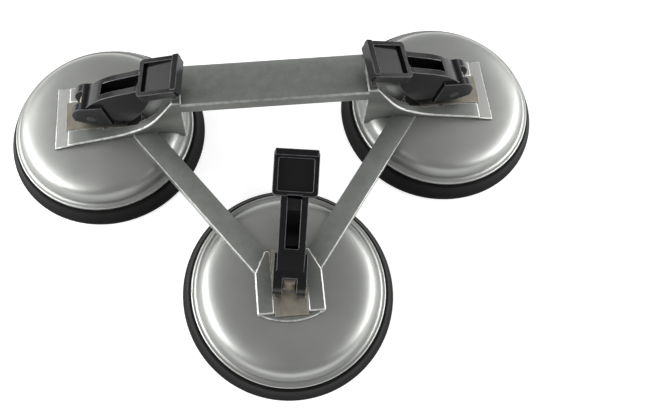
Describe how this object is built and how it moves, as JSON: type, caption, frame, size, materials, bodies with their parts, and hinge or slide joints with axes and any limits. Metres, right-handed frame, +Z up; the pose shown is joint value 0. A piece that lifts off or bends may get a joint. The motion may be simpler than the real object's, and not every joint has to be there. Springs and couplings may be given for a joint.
{
  "type": "floor tile suction lifter",
  "caption": "Hand lifter for floor tiles and panes: a cast aluminium grip frame joins suction cups, each drawn tight by its own black cam lever.",
  "frame": {"origin": "on the resting plane, on the symmetry plane of the frame, half way between the front cup's centre and the line through the two rear cups", "axes": "+X along the grip to the right-hand cup, +Y from the front cup towards the grip, +Z up from the sealing faces"},
  "size_m": [0.3272, 0.2274, 0.0758],
  "materials": {
    "frame_aluminium": "shot-blasted die casting, slightly darker than the cups, edges bright",
    "cast_aluminium": "satin, fine bead-blasted, bright on the rounded shoulder",
    "black_rubber": "matt black moulded rubber",
    "black_plastic": "glossy black moulded nylon",
    "wear_steel": "rolled steel strip, faintly tan",
    "tan_steel": "turned steel, faintly tan plating",
    "zinc_steel": "zinc plated steel",
    "spring_steel": "oiled spring wire",
    "bright_steel": "ground steel pin"
  },
  "bodies": {
    "root": {"carry_frame": "frame_aluminium", "left_cup": "cast_aluminium", "left_suction_disc": "black_rubber", "left_guide_sleeve": "zinc_steel", "left_wear_plate": "wear_steel", "left_spring": "spring_steel", "right_cup": "cast_aluminium", "right_suction_disc": "black_rubber", "right_guide_sleeve": "zinc_steel", "right_wear_plate": "wear_steel", "right_spring": "spring_steel", "front_cup": "cast_aluminium", "front_suction_disc": "black_rubber", "front_guide_sleeve": "zinc_steel", "front_wear_plate": "wear_steel", "front_spring": "spring_steel"},
    "left_pad_plate": {"left_backing_plate": "zinc_steel"},
    "left_stem_swivel": {"left_stem": "tan_steel"},
    "left_cam_pin": {"left_pivot_pin": "bright_steel"},
    "left_cam_lever": {"left_lever": "black_plastic"},
    "right_pad_plate": {"right_backing_plate": "zinc_steel"},
    "right_stem_swivel": {"right_stem": "tan_steel"},
    "right_cam_pin": {"right_pivot_pin": "bright_steel"},
    "right_cam_lever": {"right_lever": "black_plastic"},
    "front_pad_plate": {"front_backing_plate": "zinc_steel"},
    "front_stem_swivel": {"front_stem": "tan_steel"},
    "front_cam_pin": {"front_pivot_pin": "bright_steel"},
    "front_cam_lever": {"front_lever": "black_plastic"}
  },
  "joints": [
    {"name": "left_pad_lift", "type": "slide", "parent": "root", "child": "left_pad_plate", "axis": [0, 0, 1], "range_m": [0, 0.003], "deforming": ["left_spring"]},
    {"name": "left_stem_turn", "type": "hinge", "parent": "left_pad_plate", "child": "left_stem_swivel", "pos_m": [-0.1036, 0.05365, 0.03], "axis": [0, 0, 1], "range_deg": [-2, 14]},
    {"name": "left_lever_press", "type": "hinge", "parent": "left_stem_swivel", "child": "left_cam_pin", "pos_m": [-0.1036, 0.05365, 0.037], "axis": [0.1045, 0.9945, 0], "range_deg": [0, 16]},
    {"name": "left_lever_raise", "type": "hinge", "parent": "left_cam_pin", "child": "left_cam_lever", "pos_m": [-0.1036, 0.05365, 0.037], "axis": [-0.1045, -0.9945, 0], "range_deg": [0, 27]},
    {"name": "right_pad_lift", "type": "slide", "parent": "root", "child": "right_pad_plate", "axis": [0, 0, 1], "range_m": [0, 0.003], "deforming": ["right_spring"]},
    {"name": "right_stem_turn", "type": "hinge", "parent": "right_pad_plate", "child": "right_stem_swivel", "pos_m": [0.1036, 0.05365, 0.03], "axis": [0, 0, 1], "range_deg": [-13, 3]},
    {"name": "right_lever_press", "type": "hinge", "parent": "right_stem_swivel", "child": "right_cam_pin", "pos_m": [0.1036, 0.05365, 0.037], "axis": [0.0872, -0.9962, 0], "range_deg": [0, 16]},
    {"name": "right_lever_raise", "type": "hinge", "parent": "right_cam_pin", "child": "right_cam_lever", "pos_m": [0.1036, 0.05365, 0.037], "axis": [-0.0872, 0.9962, 0], "range_deg": [0, 27]},
    {"name": "front_pad_lift", "type": "slide", "parent": "root", "child": "front_pad_plate", "axis": [0, 0, 1], "range_m": [0, 0.003], "deforming": ["front_spring"]},
    {"name": "front_stem_turn", "type": "hinge", "parent": "front_pad_plate", "child": "front_stem_swivel", "pos_m": [0, -0.05365, 0.03], "axis": [0, 0, 1], "range_deg": [0, 16]},
    {"name": "front_lever_press", "type": "hinge", "parent": "front_stem_swivel", "child": "front_cam_pin", "pos_m": [0, -0.05365, 0.037], "axis": [-0.9903, 0.1392, 0], "range_deg": [0, 16]},
    {"name": "front_lever_raise", "type": "hinge", "parent": "front_cam_pin", "child": "front_cam_lever", "pos_m": [0, -0.05365, 0.037], "axis": [0.9903, -0.1392, 0], "range_deg": [0, 27]}
  ],
  "couplings": [
    {"joint": "left_lever_press", "follows": "left_pad_lift", "rad_per_m": 93.084},
    {"joint": "right_lever_press", "follows": "right_pad_lift", "rad_per_m": 93.084},
    {"joint": "front_lever_press", "follows": "front_pad_lift", "rad_per_m": 93.084}
  ]
}
